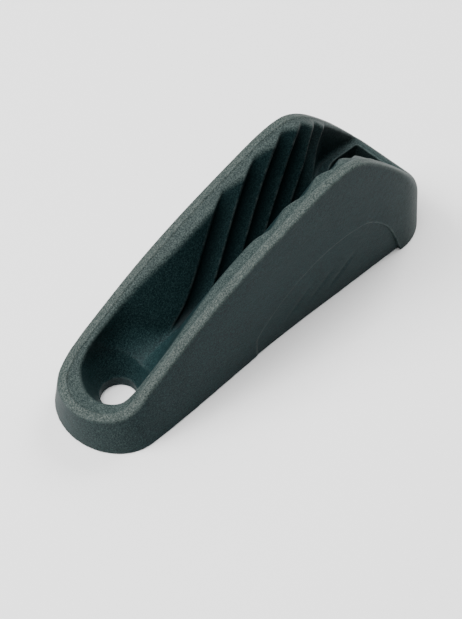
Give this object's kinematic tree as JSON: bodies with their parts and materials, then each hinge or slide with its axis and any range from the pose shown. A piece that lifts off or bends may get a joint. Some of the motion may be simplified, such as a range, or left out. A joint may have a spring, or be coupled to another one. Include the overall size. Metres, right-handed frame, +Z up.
{
  "type": "v-grip jam cleat",
  "caption": "Open V-grip jam cleat: a moulded wedge-shaped body with ribbed inner walls that grip a small rope, fixed down by screws through the foot.",
  "frame": {"origin": "centre of the foot's footprint, on the deck face", "axes": "+X from the nose to the rear along the groove, +Y across the cleat, +Z up from the deck"},
  "size_m": [0.066, 0.0172, 0.0246],
  "materials": {
    "nylon": "dark grey-green glass-filled nylon, matte with a fine grain, lighter where the rims and ends are worn"
  },
  "bodies": {
    "root": {"cleat_body": "nylon"}
  },
  "joints": []
}
